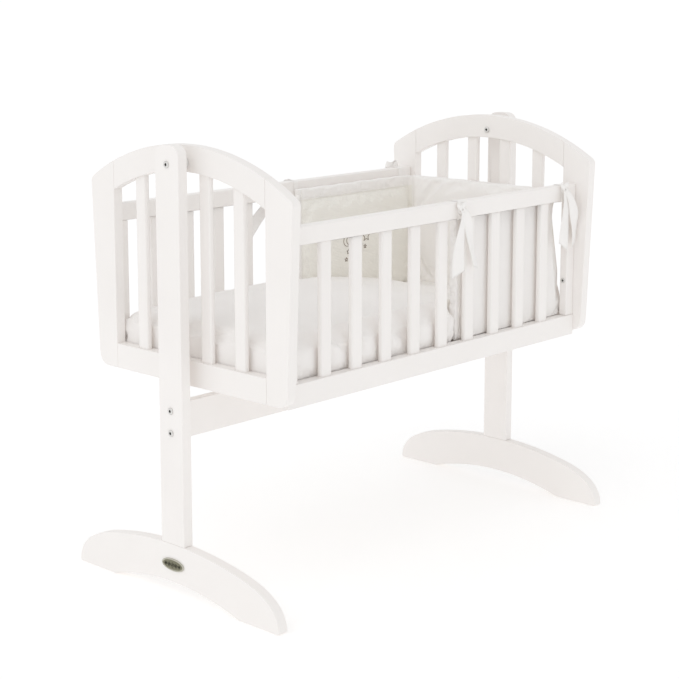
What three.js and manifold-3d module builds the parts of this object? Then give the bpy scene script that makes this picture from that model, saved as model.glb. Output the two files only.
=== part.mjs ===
// Swinging baby cradle: a white painted cradle that hangs between two uprights on pivot bolts.
// Units are millimetres. +Z is up, +X runs along the cradle towards its head end, -Y is the front.
// The origin is on the floor, below the middle of the object.

import * as THREE from "three";
import { mergeVertices } from "three/addons/utils/BufferGeometryUtils.js";
import Module from "manifold-3d";

const wasm = await Module();
wasm.setup();

// ---- driving dimensions ----

const FIT_GAP = 0.3; // gap between touching pieces
const CUT_SPARE = 1; // how far a cutter reaches past the faces that it cuts
const HALF_INSIDE_LENGTH = 453; // middle of the cradle to an end panel's inner face
const HALF_INSIDE_WIDTH = 230; // middle of the cradle to a side rail's inner face

const PIVOT_HEIGHT = 852;
const PIVOT_GAP = 25; // end panel to upright

// Stand
const UPRIGHT_THICKNESS = 22;
const UPRIGHT_WIDTH = 66;
const UPRIGHT_TOP = 889;
const UPRIGHT_CORNER = 22;
const FOOT_HALF_LENGTH = 293;
const FOOT_SEAT_HEIGHT = 106;
const FOOT_TOP_RADIUS = 880;
const FOOT_SHOULDER = 190; // where the toe's curve starts
const FOOT_TOE_RADIUS = 5;
const FOOT_TOE_CONTROL = 291; // the toe's curve starts upright, a little inside the toe
const FOOT_ARCH_HEIGHT = 28;
const FOOT_ARCH_HALF_SPAN = 184;
const STRETCHER_BOTTOM = 317;
const STRETCHER_TOP = 389;
const STRETCHER_THICKNESS = 20;
const STRETCHER_BOLT_HEIGHTS = { lower: 330, upper: 374 };

// End panels
const PANEL_THICKNESS = 22;
const PANEL_BOTTOM = 416;
const SILL_TOP = 467;
const ARCH_TOP = 886;
const ARCH_RADIUS = 525;
const ARCH_DEPTH = 52;
const STILE_INNER = 215.5;
const STILE_SHOULDER = 287;
const STILE_FOOT = 271;
const STILE_TOP_CORNER = 8;
const STILE_BOTTOM_CORNER = 28;
const END_BAR_COUNT = 4;
const END_BAR_PITCH = 93.4;

// Side frames
const SIDE_THICKNESS = 22;
const TOP_RAIL_BOTTOM = 713;
const TOP_RAIL_TOP = 749;
const BOTTOM_RAIL_BOTTOM = 408;
const BOTTOM_RAIL_TOP = 453;
const POST_WIDTH = 26;
const POST_THICKNESS = 18;
const SIDE_BAR_COUNT = 9;
const SIDE_BAR_PITCH = 86.3;

// Bars
const BAR_WIDTH = 30;
const BAR_THICKNESS = 12;
const BAR_EDGE = 4;
const TENON = 12;

// Base board
const BOARD_BOTTOM = 418;
const BOARD_THICKNESS = 12;
const GROOVE_DEPTH = 6;
const BOARD_TONGUE = 5;
const BOARD_CORNER_GAP = 1;

// Fasteners
const BOLT_HEAD_RADIUS = 7;
const BOLT_HEAD_HEIGHT = 2.5;
const BOLT_HEAD_EDGE = 1.25; // the head's sides are straight up to here
const BOLT_HEAD_TOP_RADIUS = 5;
const BOLT_CHAMFER = 0.8;
const PIVOT_SHANK_RADIUS = 4;
const STRETCHER_SHANK_RADIUS = 3;
const STRETCHER_BOLT_DEPTH = 48;
const STRETCHER_HOLE_DEPTH = 52;
const HEX_KEY_RADIUS = 2.5;
const HEX_KEY_DEPTH = 3.5;
const SPACER_RADIUS = 11;
const NUT_RADIUS = 7;
const NUT_HEIGHT = 3;
const ROUND_STEPS = 24;

// Oval plate on the foot
const BADGE_LENGTH = 64;
const BADGE_WIDTH = 25;
const BADGE_THICKNESS = 1.6;
const BADGE_HEIGHT = 64;

// Bedding
const BEDDING_GAP = 2; // between the mattress's sides and what hangs beside them
const MATTRESS_LEFT = -435;
const MATTRESS_RIGHT = 445;
const MATTRESS_HALF_WIDTH = 200;
const MATTRESS_TOP = 480;
const MATTRESS_CORNER = 30;
const QUILT_LEFT = -450;
const QUILT_FULL_RIGHT = 50; // the quilt is thick up to here
const QUILT_RIGHT = 290;
const QUILT_TOP = 534;
const QUILT_THIN_TOP = 500; // at the quilt's right end
const QUILT_TOP_EDGE = 28; // where the top turns down at the foot end
const QUILT_HALF_WIDTH = 228;
const QUILT_SKIRT_INNER = 203;
const QUILT_SKIRT_TOP = 512;
const QUILT_SKIRT_BOTTOM = 440;
const QUILT_SKIRT_RIGHT = { front: 57, back: 39 };
const QUILT_END_BOTTOM = 458;
const BUMPER_LEFT = { front: 62, back: 44 };
const BUMPER_RIGHT = 451;
const BUMPER_HALF_WIDTH = 229;
const BUMPER_THICKNESS = 22;
const BUMPER_TOP = 735;
const BUMPER_BOTTOM = 450;
const BUMPER_OUTER_CORNER = 26;

// ---- derived dimensions ----

const UPRIGHT_INNER = HALF_INSIDE_LENGTH + PANEL_THICKNESS + PIVOT_GAP;
const UPRIGHT_OUTER = UPRIGHT_INNER + UPRIGHT_THICKNESS;
const ARCH_CENTRE = ARCH_TOP - ARCH_RADIUS;
const ARCH_INNER_RADIUS = ARCH_RADIUS - ARCH_DEPTH;
const SIDE_MIDDLE = HALF_INSIDE_WIDTH + SIDE_THICKNESS / 2;
const RAIL_LENGTH = 2 * (HALF_INSIDE_LENGTH - FIT_GAP);

// ---- materials ----

const paint = new THREE.MeshStandardMaterial({ color: 0xf4f1ed, roughness: 0.38, metalness: 0 });
const steel = new THREE.MeshStandardMaterial({ color: 0xa9a7a2, roughness: 0.35, metalness: 1 });
const plastic = new THREE.MeshStandardMaterial({ color: 0xe9e6e0, roughness: 0.5, metalness: 0 });
const bronze = new THREE.MeshStandardMaterial({ color: 0x4e4630, roughness: 0.4, metalness: 0.9 });
const cotton = new THREE.MeshStandardMaterial({ color: 0xf6f4f0, roughness: 0.9, metalness: 0 });

// ---- geometry helpers ----

const AXIS_X = new THREE.Vector3(1, 0, 0);
const AXIS_Y = new THREE.Vector3(0, 1, 0);
const AXIS_Z = new THREE.Vector3(0, 0, 1);
// A shape drawn in (Y, Z), extruded along +X.
const ALONG_X = new THREE.Matrix4().makeBasis(AXIS_Y, AXIS_Z, AXIS_X);
// A shape drawn in (X, Z), extruded along -Y.
const ALONG_Y = new THREE.Matrix4().makeBasis(AXIS_X, AXIS_Z, AXIS_Y.clone().negate());

function extrude(shape, depth, basis = null, curveSegments = 12) {
  const geometry = new THREE.ExtrudeGeometry(shape, { depth, bevelEnabled: false, curveSegments });
  return basis ? geometry.applyMatrix4(basis) : geometry;
}

// A box given by its lowest and highest corners.
function block(low, high) {
  const size = high.map((value, axis) => value - low[axis]);
  const centre = high.map((value, axis) => (value + low[axis]) / 2);
  return new THREE.BoxGeometry(...size).translate(...centre);
}

// A round bar along +X from x = start, with a polygon of ROUND_STEPS sides or the given number.
function roundX(radius, start, length, y = 0, z = 0, sides = ROUND_STEPS) {
  const geometry = new THREE.CylinderGeometry(radius, radius, length, sides);
  return geometry.rotateZ(-Math.PI / 2).translate(start + length / 2, y, z);
}

// A body of revolution around X: the profile's points are [x, radius].
function turnX(profile, sides = ROUND_STEPS) {
  const points = profile.map(([x, radius]) => new THREE.Vector2(radius, x));
  return new THREE.LatheGeometry(points, sides).rotateZ(-Math.PI / 2);
}

function toSolid(geometry) {
  const bare = geometry.clone();
  bare.deleteAttribute("normal");
  bare.deleteAttribute("uv");
  const merged = mergeVertices(bare, 1e-4);
  const triangles = [];
  for (let i = 0; i < merged.index.count; i += 3) {
    const [a, b, c] = [0, 1, 2].map((k) => merged.index.getX(i + k));
    const isFlat = a === b || b === c || c === a;
    if (!isFlat) triangles.push(a, b, c);
  }
  const mesh = new wasm.Mesh({
    numProp: 3,
    vertProperties: new Float32Array(merged.attributes.position.array),
    triVerts: new Uint32Array(triangles),
  });
  return new wasm.Manifold(mesh);
}

function toGeometry(solid) {
  const { vertProperties, triVerts } = solid.getMesh();
  const geometry = new THREE.BufferGeometry();
  geometry.setAttribute("position", new THREE.BufferAttribute(vertProperties, 3));
  geometry.setIndex(new THREE.BufferAttribute(triVerts, 1));
  geometry.computeVertexNormals();
  return geometry;
}

function cut(geometry, cutters) {
  const solid = cutters.reduce((left, cutter) => left.subtract(toSolid(cutter)), toSolid(geometry));
  return toGeometry(solid);
}

function join(geometries) {
  const [first, ...others] = geometries.map(toSolid);
  return toGeometry(others.reduce((left, other) => left.add(other), first));
}

function piece(name, geometry, material) {
  const mesh = new THREE.Mesh(geometry, material);
  mesh.name = name;
  return mesh;
}

function roundedRectangle(width, height, radius) {
  const shape = new THREE.Shape();
  const [x, y] = [width / 2, height / 2];
  shape.moveTo(-x + radius, -y);
  shape.lineTo(x - radius, -y);
  shape.absarc(x - radius, -y + radius, radius, -Math.PI / 2, 0);
  shape.lineTo(x, y - radius);
  shape.absarc(x - radius, y - radius, radius, 0, Math.PI / 2);
  shape.lineTo(-x + radius, y);
  shape.absarc(-x + radius, y - radius, radius, Math.PI / 2, Math.PI);
  shape.lineTo(-x, -y + radius);
  shape.absarc(-x + radius, -y + radius, radius, Math.PI, 1.5 * Math.PI);
  return shape;
}

// Centres of equally spaced bars, symmetric about zero.
function barCentres(count, pitch) {
  return Array.from({ length: count }, (_, i) => (i - (count - 1) / 2) * pitch);
}

// An upright bar of the cradle, or with spare > 0 the mortise that it sits in.
function barGeometry(width, thickness, bottom, top, spare = 0) {
  const shape = roundedRectangle(width + 2 * spare, thickness + 2 * spare, BAR_EDGE);
  return extrude(shape, top - bottom + 2 * spare, null, 1).translate(0, 0, bottom - spare);
}

// ---- stand ----

function footOutline() {
  const arcCentre = FOOT_SEAT_HEIGHT - FOOT_TOP_RADIUS;
  const shoulderAngle = Math.asin(FOOT_SHOULDER / FOOT_TOP_RADIUS);
  const seatAngle = Math.asin(UPRIGHT_WIDTH / 2 / FOOT_TOP_RADIUS);
  const shoulderHeight = arcCentre + FOOT_TOP_RADIUS * Math.cos(shoulderAngle);
  const toeRise = shoulderHeight - (FOOT_TOE_CONTROL - FOOT_SHOULDER) * Math.tan(shoulderAngle);
  const up = Math.PI / 2;
  const shape = new THREE.Shape();
  shape.moveTo(FOOT_ARCH_HALF_SPAN, 0);
  shape.lineTo(FOOT_HALF_LENGTH - FOOT_TOE_RADIUS, 0);
  shape.absarc(FOOT_HALF_LENGTH - FOOT_TOE_RADIUS, FOOT_TOE_RADIUS, FOOT_TOE_RADIUS, -up, 0);
  shape.quadraticCurveTo(FOOT_TOE_CONTROL, toeRise, FOOT_SHOULDER, shoulderHeight);
  shape.absarc(0, arcCentre, FOOT_TOP_RADIUS, up - shoulderAngle, up - seatAngle);
  shape.lineTo(-UPRIGHT_WIDTH / 2, arcCentre + FOOT_TOP_RADIUS * Math.cos(seatAngle));
  shape.absarc(0, arcCentre, FOOT_TOP_RADIUS, up + seatAngle, up + shoulderAngle);
  shape.quadraticCurveTo(-FOOT_TOE_CONTROL, toeRise, -FOOT_HALF_LENGTH, FOOT_TOE_RADIUS);
  const backToe = -FOOT_HALF_LENGTH + FOOT_TOE_RADIUS;
  shape.absarc(backToe, FOOT_TOE_RADIUS, FOOT_TOE_RADIUS, Math.PI, 1.5 * Math.PI);
  shape.lineTo(-FOOT_ARCH_HALF_SPAN, 0);
  // The underside between the two pads is one flat arc.
  const archRadius = (FOOT_ARCH_HALF_SPAN ** 2 + FOOT_ARCH_HEIGHT ** 2) / (2 * FOOT_ARCH_HEIGHT);
  const archAngle = Math.asin(FOOT_ARCH_HALF_SPAN / archRadius);
  const archCentre = FOOT_ARCH_HEIGHT - archRadius;
  shape.absarc(0, archCentre, archRadius, up + archAngle, up - archAngle, true);
  return shape;
}

const footSeat = FOOT_SEAT_HEIGHT - FOOT_TOP_RADIUS
  + Math.sqrt(FOOT_TOP_RADIUS ** 2 - (UPRIGHT_WIDTH / 2) ** 2);

function uprightOutline() {
  const half = UPRIGHT_WIDTH / 2;
  const shape = new THREE.Shape();
  shape.moveTo(-half, footSeat + FIT_GAP);
  shape.lineTo(half, footSeat + FIT_GAP);
  shape.lineTo(half, UPRIGHT_TOP - UPRIGHT_CORNER);
  shape.absarc(half - UPRIGHT_CORNER, UPRIGHT_TOP - UPRIGHT_CORNER, UPRIGHT_CORNER, 0, Math.PI / 2);
  shape.absarc(
    UPRIGHT_CORNER - half, UPRIGHT_TOP - UPRIGHT_CORNER, UPRIGHT_CORNER, Math.PI / 2, Math.PI);
  return shape;
}

// Button-head bolt along -X: the head's underside is at x = 0 and the head points to +X.
function boltGeometry(shankRadius, shankLength, hasNut) {
  const nutStart = -shankLength - NUT_HEIGHT;
  const tip = hasNut
    ? [[nutStart, 0], [nutStart, NUT_RADIUS - BOLT_CHAMFER], [nutStart + BOLT_CHAMFER, NUT_RADIUS],
      [-shankLength, NUT_RADIUS], [-shankLength, shankRadius]]
    : [[-shankLength, 0], [-shankLength, shankRadius - BOLT_CHAMFER],
      [-shankLength + BOLT_CHAMFER, shankRadius]];
  const head = [[0, shankRadius], [0, BOLT_HEAD_RADIUS], [BOLT_HEAD_EDGE, BOLT_HEAD_RADIUS],
    [BOLT_HEAD_HEIGHT, BOLT_HEAD_TOP_RADIUS], [BOLT_HEAD_HEIGHT, 0]];
  const keyStart = BOLT_HEAD_HEIGHT - HEX_KEY_DEPTH;
  const hexKey = roundX(HEX_KEY_RADIUS, keyStart, HEX_KEY_DEPTH + CUT_SPARE, 0, 0, 6);
  return cut(turnX([...tip, ...head]), [hexKey]);
}

function buildStandEnd(side) {
  const group = new THREE.Group();
  group.rotation.z = side === "left" ? Math.PI : 0;

  const foot = piece(`${side}_foot`, extrude(footOutline(), UPRIGHT_THICKNESS, ALONG_X, 8), paint);
  foot.position.x = UPRIGHT_INNER;
  group.add(foot);

  const hole = (radius, height) => roundX(radius + FIT_GAP, -CUT_SPARE,
    UPRIGHT_THICKNESS + 2 * CUT_SPARE, 0, height);
  const holes = [
    hole(PIVOT_SHANK_RADIUS, PIVOT_HEIGHT),
    ...Object.values(STRETCHER_BOLT_HEIGHTS).map((height) => hole(STRETCHER_SHANK_RADIUS, height)),
  ];
  const blank = extrude(uprightOutline(), UPRIGHT_THICKNESS, ALONG_X, 5);
  const upright = piece(`${side}_upright`, cut(blank, holes), paint);
  upright.position.x = UPRIGHT_INNER;
  group.add(upright);

  const boltReach = UPRIGHT_THICKNESS + PIVOT_GAP + PANEL_THICKNESS + 2 * FIT_GAP;
  const pivotBolt = piece(`${side}_pivot_bolt`,
    boltGeometry(PIVOT_SHANK_RADIUS, boltReach, true), steel);
  pivotBolt.position.set(UPRIGHT_OUTER + FIT_GAP, 0, PIVOT_HEIGHT);
  group.add(pivotBolt);

  const spacerProfile = [
    [FIT_GAP, PIVOT_SHANK_RADIUS + FIT_GAP],
    [PIVOT_GAP - FIT_GAP, PIVOT_SHANK_RADIUS + FIT_GAP],
    [PIVOT_GAP - FIT_GAP, SPACER_RADIUS],
    [FIT_GAP, SPACER_RADIUS],
    [FIT_GAP, PIVOT_SHANK_RADIUS + FIT_GAP],
  ];
  const spacer = piece(`${side}_pivot_spacer`, turnX(spacerProfile.reverse()), plastic);
  spacer.position.set(HALF_INSIDE_LENGTH + PANEL_THICKNESS, 0, PIVOT_HEIGHT);
  group.add(spacer);

  for (const [level, height] of Object.entries(STRETCHER_BOLT_HEIGHTS)) {
    const shankLength = UPRIGHT_THICKNESS + STRETCHER_BOLT_DEPTH;
    const bolt = piece(`${side}_stretcher_bolt_${level}`,
      boltGeometry(STRETCHER_SHANK_RADIUS, shankLength, false), steel);
    bolt.position.set(UPRIGHT_OUTER + FIT_GAP, 0, height);
    group.add(bolt);
  }
  return group;
}

function buildStretcher() {
  const halfLength = UPRIGHT_INNER - FIT_GAP;
  const halfThickness = STRETCHER_THICKNESS / 2;
  const board = block([-halfLength, -halfThickness, STRETCHER_BOTTOM],
    [halfLength, halfThickness, STRETCHER_TOP]);
  const holeLength = STRETCHER_HOLE_DEPTH + CUT_SPARE;
  const holeStarts = [-halfLength - CUT_SPARE, halfLength - STRETCHER_HOLE_DEPTH];
  const holes = Object.values(STRETCHER_BOLT_HEIGHTS).flatMap((height) => holeStarts.map(
    (start) => roundX(STRETCHER_SHANK_RADIUS + FIT_GAP, start, holeLength, 0, height)));
  return piece("stretcher", cut(board, holes), paint);
}

function buildBadge() {
  const oval = new THREE.Shape();
  oval.absellipse(0, 0, BADGE_LENGTH / 2, BADGE_WIDTH / 2, 0, 2 * Math.PI);
  const badge = piece("foot_badge", extrude(oval, BADGE_THICKNESS, ALONG_X, 20), bronze);
  badge.position.set(-UPRIGHT_OUTER - FIT_GAP - BADGE_THICKNESS, 0, BADGE_HEIGHT);
  return badge;
}

// ---- end panels: local x = 0 is the inner face and x = PANEL_THICKNESS the outer face ----

function archRailOutline() {
  const endAngle = Math.acos((STILE_INNER - FIT_GAP / 2) / ARCH_RADIUS);
  const innerEndAngle = Math.acos((STILE_INNER - FIT_GAP / 2) / ARCH_INNER_RADIUS);
  const shape = new THREE.Shape();
  shape.absarc(0, ARCH_CENTRE, ARCH_RADIUS, endAngle, Math.PI - endAngle);
  shape.absarc(0, ARCH_CENTRE, ARCH_INNER_RADIUS, Math.PI - innerEndAngle, innerEndAngle, true);
  return shape;
}

// A stile's top follows the arch, its outer edge leans in towards the bottom.
function stileOutline(sign) {
  const inner = STILE_INNER + FIT_GAP / 2;
  const arcHeight = (y) => ARCH_CENTRE + Math.sqrt(ARCH_RADIUS ** 2 - y ** 2);
  const shoulder = arcHeight(STILE_SHOULDER);
  const lean = (STILE_SHOULDER - STILE_FOOT) / (shoulder - PANEL_BOTTOM);
  const arcStart = Math.acos(inner / ARCH_RADIUS);
  const arcEnd = Math.acos((STILE_SHOULDER - STILE_TOP_CORNER) / ARCH_RADIUS);
  const points = [];
  const arcSteps = 5;
  for (let i = 0; i <= arcSteps; i += 1) {
    const angle = arcStart + ((arcEnd - arcStart) * i) / arcSteps;
    points.push([ARCH_RADIUS * Math.cos(angle), ARCH_CENTRE + ARCH_RADIUS * Math.sin(angle)]);
  }
  const topCorner = new THREE.QuadraticBezierCurve(
    new THREE.Vector2(...points.at(-1)),
    new THREE.Vector2(STILE_SHOULDER, shoulder),
    new THREE.Vector2(STILE_SHOULDER - lean * STILE_TOP_CORNER, shoulder - STILE_TOP_CORNER));
  const cornerRise = PANEL_BOTTOM + STILE_BOTTOM_CORNER;
  const bottomCorner = new THREE.QuadraticBezierCurve(
    new THREE.Vector2(STILE_FOOT + lean * STILE_BOTTOM_CORNER, cornerRise),
    new THREE.Vector2(STILE_FOOT, PANEL_BOTTOM),
    new THREE.Vector2(STILE_FOOT - STILE_BOTTOM_CORNER, PANEL_BOTTOM));
  const outline = [
    ...points.map(([y, z]) => new THREE.Vector2(y, z)),
    ...topCorner.getPoints(4).slice(1),
    ...bottomCorner.getPoints(6),
    new THREE.Vector2(inner, PANEL_BOTTOM),
  ];
  return new THREE.Shape(outline.map((point) => new THREE.Vector2(sign * point.x, point.y)));
}

function buildEndPanel(side) {
  const isLeft = side === "left";
  const group = new THREE.Group();
  group.rotation.z = isLeft ? Math.PI : 0;
  group.position.x = isLeft ? -HALF_INSIDE_LENGTH : HALF_INSIDE_LENGTH;

  const barPlaces = barCentres(END_BAR_COUNT, END_BAR_PITCH);
  const barMiddle = PANEL_THICKNESS / 2;
  const archHeight = (y) => ARCH_CENTRE + Math.sqrt(ARCH_INNER_RADIUS ** 2 - y ** 2);
  const barTop = (y) => archHeight(Math.abs(y)) + TENON;
  const barBottom = SILL_TOP - TENON;
  const mortises = barPlaces.map((y) => barGeometry(BAR_THICKNESS, BAR_WIDTH, barBottom, barTop(y),
    FIT_GAP).translate(barMiddle, y, 0));

  const pivotBore = roundX(PIVOT_SHANK_RADIUS + FIT_GAP, -CUT_SPARE,
    PANEL_THICKNESS + 2 * CUT_SPARE, 0, PIVOT_HEIGHT);
  const archBlank = extrude(archRailOutline(), PANEL_THICKNESS, ALONG_X, 14);
  group.add(piece(`${side}_arch_rail`, cut(archBlank, [pivotBore, ...mortises]), paint));

  const sillHalf = STILE_INNER - FIT_GAP / 2;
  const sillBlank = block([0, -sillHalf, PANEL_BOTTOM], [PANEL_THICKNESS, sillHalf, SILL_TOP]);
  const groove = block([-CUT_SPARE, -HALF_INSIDE_WIDTH, BOARD_BOTTOM - FIT_GAP],
    [GROOVE_DEPTH, HALF_INSIDE_WIDTH, BOARD_BOTTOM + BOARD_THICKNESS + FIT_GAP]);
  group.add(piece(`${side}_sill_rail`, cut(sillBlank, [groove, ...mortises]), paint));

  for (const sign of [-1, 1]) {
    const face = sign * (isLeft ? -1 : 1) < 0 ? "front" : "back";
    const stile = extrude(stileOutline(sign), PANEL_THICKNESS, ALONG_X);
    group.add(piece(`${side}_${face}_stile`, stile, paint));
  }

  barPlaces.forEach((y, i) => {
    const number = isLeft ? END_BAR_COUNT - i : i + 1;
    const bar = piece(`${side}_end_bar_${number}`,
      barGeometry(BAR_THICKNESS, BAR_WIDTH, barBottom, barTop(y)), paint);
    bar.position.set(barMiddle, y, 0);
    group.add(bar);
  });
  return group;
}

// ---- side frames: local y = 0 is the middle of the rails' thickness ----

function buildSideFrame(face) {
  const group = new THREE.Group();
  group.rotation.z = face === "front" ? Math.PI : 0;
  group.position.y = face === "front" ? -SIDE_MIDDLE : SIDE_MIDDLE;

  const half = { x: RAIL_LENGTH / 2, y: SIDE_THICKNESS / 2 };
  const postX = half.x - POST_WIDTH / 2;
  const barPlaces = barCentres(SIDE_BAR_COUNT, SIDE_BAR_PITCH);
  const barBottom = BOTTOM_RAIL_TOP - TENON;
  const barTop = TOP_RAIL_BOTTOM + TENON;
  const mortises = barPlaces.map((x) => barGeometry(BAR_WIDTH, BAR_THICKNESS, barBottom, barTop,
    FIT_GAP).translate(x, 0, 0));

  const topBlank = block([-half.x, -half.y, TOP_RAIL_BOTTOM], [half.x, half.y, TOP_RAIL_TOP]);
  group.add(piece(`${face}_top_rail`, cut(topBlank, mortises), paint));

  const bottomBlank = block([-half.x, -half.y, BOTTOM_RAIL_BOTTOM],
    [half.x, half.y, BOTTOM_RAIL_TOP]);
  const groove = block([-half.x - CUT_SPARE, -half.y - CUT_SPARE, BOARD_BOTTOM - FIT_GAP],
    [half.x + CUT_SPARE, -half.y + GROOVE_DEPTH, BOARD_BOTTOM + BOARD_THICKNESS + FIT_GAP]);
  group.add(piece(`${face}_bottom_rail`, cut(bottomBlank, [groove, ...mortises]), paint));

  for (const sign of [-1, 1]) {
    const end = sign * (face === "front" ? -1 : 1) < 0 ? "left" : "right";
    const post = block([-POST_WIDTH / 2, -POST_THICKNESS / 2, BOTTOM_RAIL_TOP + FIT_GAP],
      [POST_WIDTH / 2, POST_THICKNESS / 2, TOP_RAIL_BOTTOM - FIT_GAP]);
    const mesh = piece(`${face}_${end}_post`, post, paint);
    mesh.position.x = sign * postX;
    group.add(mesh);
  }

  barPlaces.forEach((x, i) => {
    const number = face === "front" ? SIDE_BAR_COUNT - i : i + 1;
    const bar = piece(`${face}_bar_${number}`,
      barGeometry(BAR_WIDTH, BAR_THICKNESS, barBottom, barTop), paint);
    bar.position.x = x;
    group.add(bar);
  });
  return group;
}

// ---- base board and bedding ----

function buildBaseBoard() {
  const halfLength = HALF_INSIDE_LENGTH + BOARD_TONGUE;
  const halfWidth = HALF_INSIDE_WIDTH + BOARD_TONGUE;
  // The corners are cut off where the end panels' stiles stand.
  const cornerX = HALF_INSIDE_LENGTH - BOARD_CORNER_GAP;
  const cornerY = STILE_INNER - 2 * BOARD_TONGUE;
  const shape = new THREE.Shape();
  shape.moveTo(-halfLength, -cornerY);
  shape.lineTo(-cornerX, -cornerY);
  shape.lineTo(-cornerX, -halfWidth);
  shape.lineTo(cornerX, -halfWidth);
  shape.lineTo(cornerX, -cornerY);
  shape.lineTo(halfLength, -cornerY);
  shape.lineTo(halfLength, cornerY);
  shape.lineTo(cornerX, cornerY);
  shape.lineTo(cornerX, halfWidth);
  shape.lineTo(-cornerX, halfWidth);
  shape.lineTo(-cornerX, cornerY);
  shape.lineTo(-halfLength, cornerY);
  const board = piece("base_board", extrude(shape, BOARD_THICKNESS), paint);
  board.position.z = BOARD_BOTTOM;
  return board;
}

function buildMattress() {
  const bottom = BOARD_BOTTOM + BOARD_THICKNESS + FIT_GAP;
  const length = MATTRESS_RIGHT - MATTRESS_LEFT;
  const shape = roundedRectangle(length, 2 * MATTRESS_HALF_WIDTH, MATTRESS_CORNER);
  const mattress = piece("mattress", extrude(shape, MATTRESS_TOP - bottom, null, 6), cotton);
  mattress.position.set((MATTRESS_LEFT + MATTRESS_RIGHT) / 2, 0, bottom);
  return mattress;
}

// The quilt lies on the mattress, thins out towards the head end and hangs down the other sides.
function buildQuilt() {
  const bottom = MATTRESS_TOP + FIT_GAP;
  const endInner = MATTRESS_LEFT - BEDDING_GAP;
  const shape = new THREE.Shape();
  shape.moveTo(QUILT_LEFT, QUILT_END_BOTTOM);
  shape.lineTo(endInner, QUILT_END_BOTTOM);
  shape.lineTo(endInner, bottom);
  shape.lineTo(QUILT_RIGHT, bottom);
  shape.lineTo(QUILT_RIGHT, QUILT_THIN_TOP);
  shape.lineTo(QUILT_FULL_RIGHT, QUILT_TOP);
  shape.lineTo(QUILT_LEFT + QUILT_TOP_EDGE, QUILT_TOP);
  shape.quadraticCurveTo(QUILT_LEFT, QUILT_TOP, QUILT_LEFT, QUILT_TOP - QUILT_TOP_EDGE);
  const overlap = QUILT_SKIRT_INNER + CUT_SPARE;
  const middle = extrude(shape, 2 * overlap, ALONG_Y, 4).translate(0, overlap, 0);
  const front = block([QUILT_LEFT, -QUILT_HALF_WIDTH, QUILT_SKIRT_BOTTOM],
    [QUILT_SKIRT_RIGHT.front, -QUILT_SKIRT_INNER, QUILT_SKIRT_TOP]);
  const back = block([QUILT_LEFT, QUILT_SKIRT_INNER, QUILT_SKIRT_BOTTOM],
    [QUILT_SKIRT_RIGHT.back, QUILT_HALF_WIDTH, QUILT_SKIRT_TOP]);
  return piece("quilt", join([middle, front, back]), cotton);
}

// One padded strip, seen from above: along the back, round the head end and along the front.
function bumperOutline() {
  const width = BUMPER_HALF_WIDTH;
  const innerWidth = width - BUMPER_THICKNESS;
  const outer = BUMPER_OUTER_CORNER;
  const inner = outer - BUMPER_THICKNESS;
  const cornerX = BUMPER_RIGHT - outer;
  const cornerY = width - outer;
  const quarter = Math.PI / 2;
  const shape = new THREE.Shape();
  shape.moveTo(BUMPER_LEFT.front, -width);
  shape.lineTo(cornerX, -width);
  shape.absarc(cornerX, -cornerY, outer, -quarter, 0);
  shape.absarc(cornerX, cornerY, outer, 0, quarter);
  shape.lineTo(BUMPER_LEFT.back, width);
  shape.lineTo(BUMPER_LEFT.back, innerWidth);
  shape.absarc(cornerX, cornerY, inner, quarter, 0, true);
  shape.absarc(cornerX, -cornerY, inner, 0, -quarter, true);
  shape.lineTo(BUMPER_LEFT.front, -innerWidth);
  return shape;
}

// The strip stands on the mattress at the head end and reaches down beside it at the sides.
function buildBumper() {
  const strip = extrude(bumperOutline(), BUMPER_TOP - BUMPER_BOTTOM, null, 6);
  strip.translate(0, 0, BUMPER_BOTTOM);
  const mattressSide = MATTRESS_HALF_WIDTH + BEDDING_GAP;
  const mattressRoom = block([BUMPER_LEFT.back, -mattressSide, BUMPER_BOTTOM - CUT_SPARE],
    [BUMPER_RIGHT + CUT_SPARE, mattressSide, MATTRESS_TOP + FIT_GAP]);
  return piece("bumper", cut(strip, [mattressRoom]), cotton);
}

// ---- assembly ----

const cradle = new THREE.Group();
cradle.add(
  buildEndPanel("left"), buildEndPanel("right"), buildSideFrame("front"), buildSideFrame("back"),
  buildBaseBoard(), buildMattress(), buildQuilt(), buildBumper());

const stand = new THREE.Group();
stand.add(buildStandEnd("left"), buildStandEnd("right"), buildStretcher(), buildBadge());

const assembly = new THREE.Group();
assembly.add(stand, cradle);

export default assembly;
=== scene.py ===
import math

import bmesh
import bpy
import numpy as np
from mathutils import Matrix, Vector
from mathutils.bvhtree import BVHTree


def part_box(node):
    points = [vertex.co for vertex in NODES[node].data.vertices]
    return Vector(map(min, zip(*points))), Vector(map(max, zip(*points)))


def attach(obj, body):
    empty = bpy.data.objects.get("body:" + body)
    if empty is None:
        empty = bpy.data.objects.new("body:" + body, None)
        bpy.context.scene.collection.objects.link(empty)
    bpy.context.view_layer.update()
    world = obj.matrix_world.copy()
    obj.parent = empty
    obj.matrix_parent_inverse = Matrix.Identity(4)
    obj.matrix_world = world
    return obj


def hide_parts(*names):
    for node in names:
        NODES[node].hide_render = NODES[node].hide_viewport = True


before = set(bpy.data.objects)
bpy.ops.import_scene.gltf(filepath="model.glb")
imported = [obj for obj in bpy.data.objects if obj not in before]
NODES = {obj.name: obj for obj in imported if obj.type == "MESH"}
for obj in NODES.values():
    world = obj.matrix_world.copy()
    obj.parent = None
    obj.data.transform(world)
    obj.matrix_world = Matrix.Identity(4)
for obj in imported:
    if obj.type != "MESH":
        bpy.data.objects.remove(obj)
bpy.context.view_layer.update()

scene = bpy.context.scene

# ---------- sizes, in metres
BEVEL_RAIL = 0.0030
BEVEL_PANEL = 0.0014
BEVEL_STAND = 0.0008
BEVEL_SMALL = 0.0007
BEVEL_PLATE = 0.0004
RIBBON_WIDTH = 0.028
RIBBON_THICK = 0.0009
SIM_FRAMES = 20


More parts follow.
